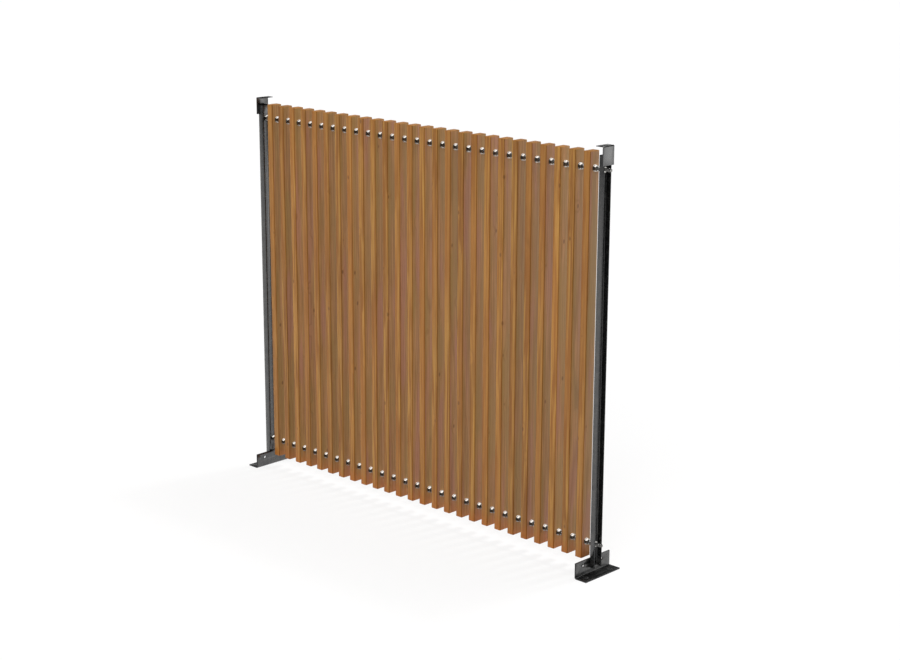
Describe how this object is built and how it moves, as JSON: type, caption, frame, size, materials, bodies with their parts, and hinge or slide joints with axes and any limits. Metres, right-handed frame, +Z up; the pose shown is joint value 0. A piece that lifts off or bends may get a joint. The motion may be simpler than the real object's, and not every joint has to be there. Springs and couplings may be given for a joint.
{
  "type": "garden privacy screen",
  "caption": "Free-standing garden privacy screen: upright wooden slats clamped on two steel rods between channel posts with angle feet and angle top brackets.",
  "frame": {"origin": "on the ground, midway between the posts and midway through the screen's depth", "axes": "+X along the screen from left post to right post, -Y is the front, +Z up"},
  "size_m": [1.7894, 0.184, 1.502],
  "materials": {
    "slat_wood": "oiled planed timber, straight grain along the slat",
    "dark_steel": "satin dark grey coating on folded steel",
    "stainless": "bright stainless threaded rod, nuts and washers"
  },
  "bodies": {
    "root": {"slat_01": "slat_wood", "slat_02": "slat_wood", "slat_03": "slat_wood", "slat_04": "slat_wood", "slat_05": "slat_wood", "slat_06": "slat_wood", "slat_07": "slat_wood", "slat_08": "slat_wood", "slat_09": "slat_wood", "slat_10": "slat_wood", "slat_11": "slat_wood", "slat_12": "slat_wood", "slat_13": "slat_wood", "slat_14": "slat_wood", "slat_15": "slat_wood", "slat_16": "slat_wood", "slat_17": "slat_wood", "slat_18": "slat_wood", "slat_19": "slat_wood", "slat_20": "slat_wood", "slat_21": "slat_wood", "slat_22": "slat_wood", "slat_23": "slat_wood", "slat_24": "slat_wood", "slat_25": "slat_wood", "slat_26": "slat_wood", "lower_rod": "stainless", "upper_rod": "stainless", "right_post": "dark_steel", "right_foot": "dark_steel", "right_top_bracket": "dark_steel", "right_lower_inner_nut": "stainless", "right_lower_outer_nut": "stainless", "right_upper_inner_nut": "stainless", "right_upper_outer_nut": "stainless", "left_post": "dark_steel", "left_foot": "dark_steel", "left_top_bracket": "dark_steel", "left_lower_inner_nut": "stainless", "left_lower_outer_nut": "stainless", "left_upper_inner_nut": "stainless", "left_upper_outer_nut": "stainless"}
  },
  "joints": []
}
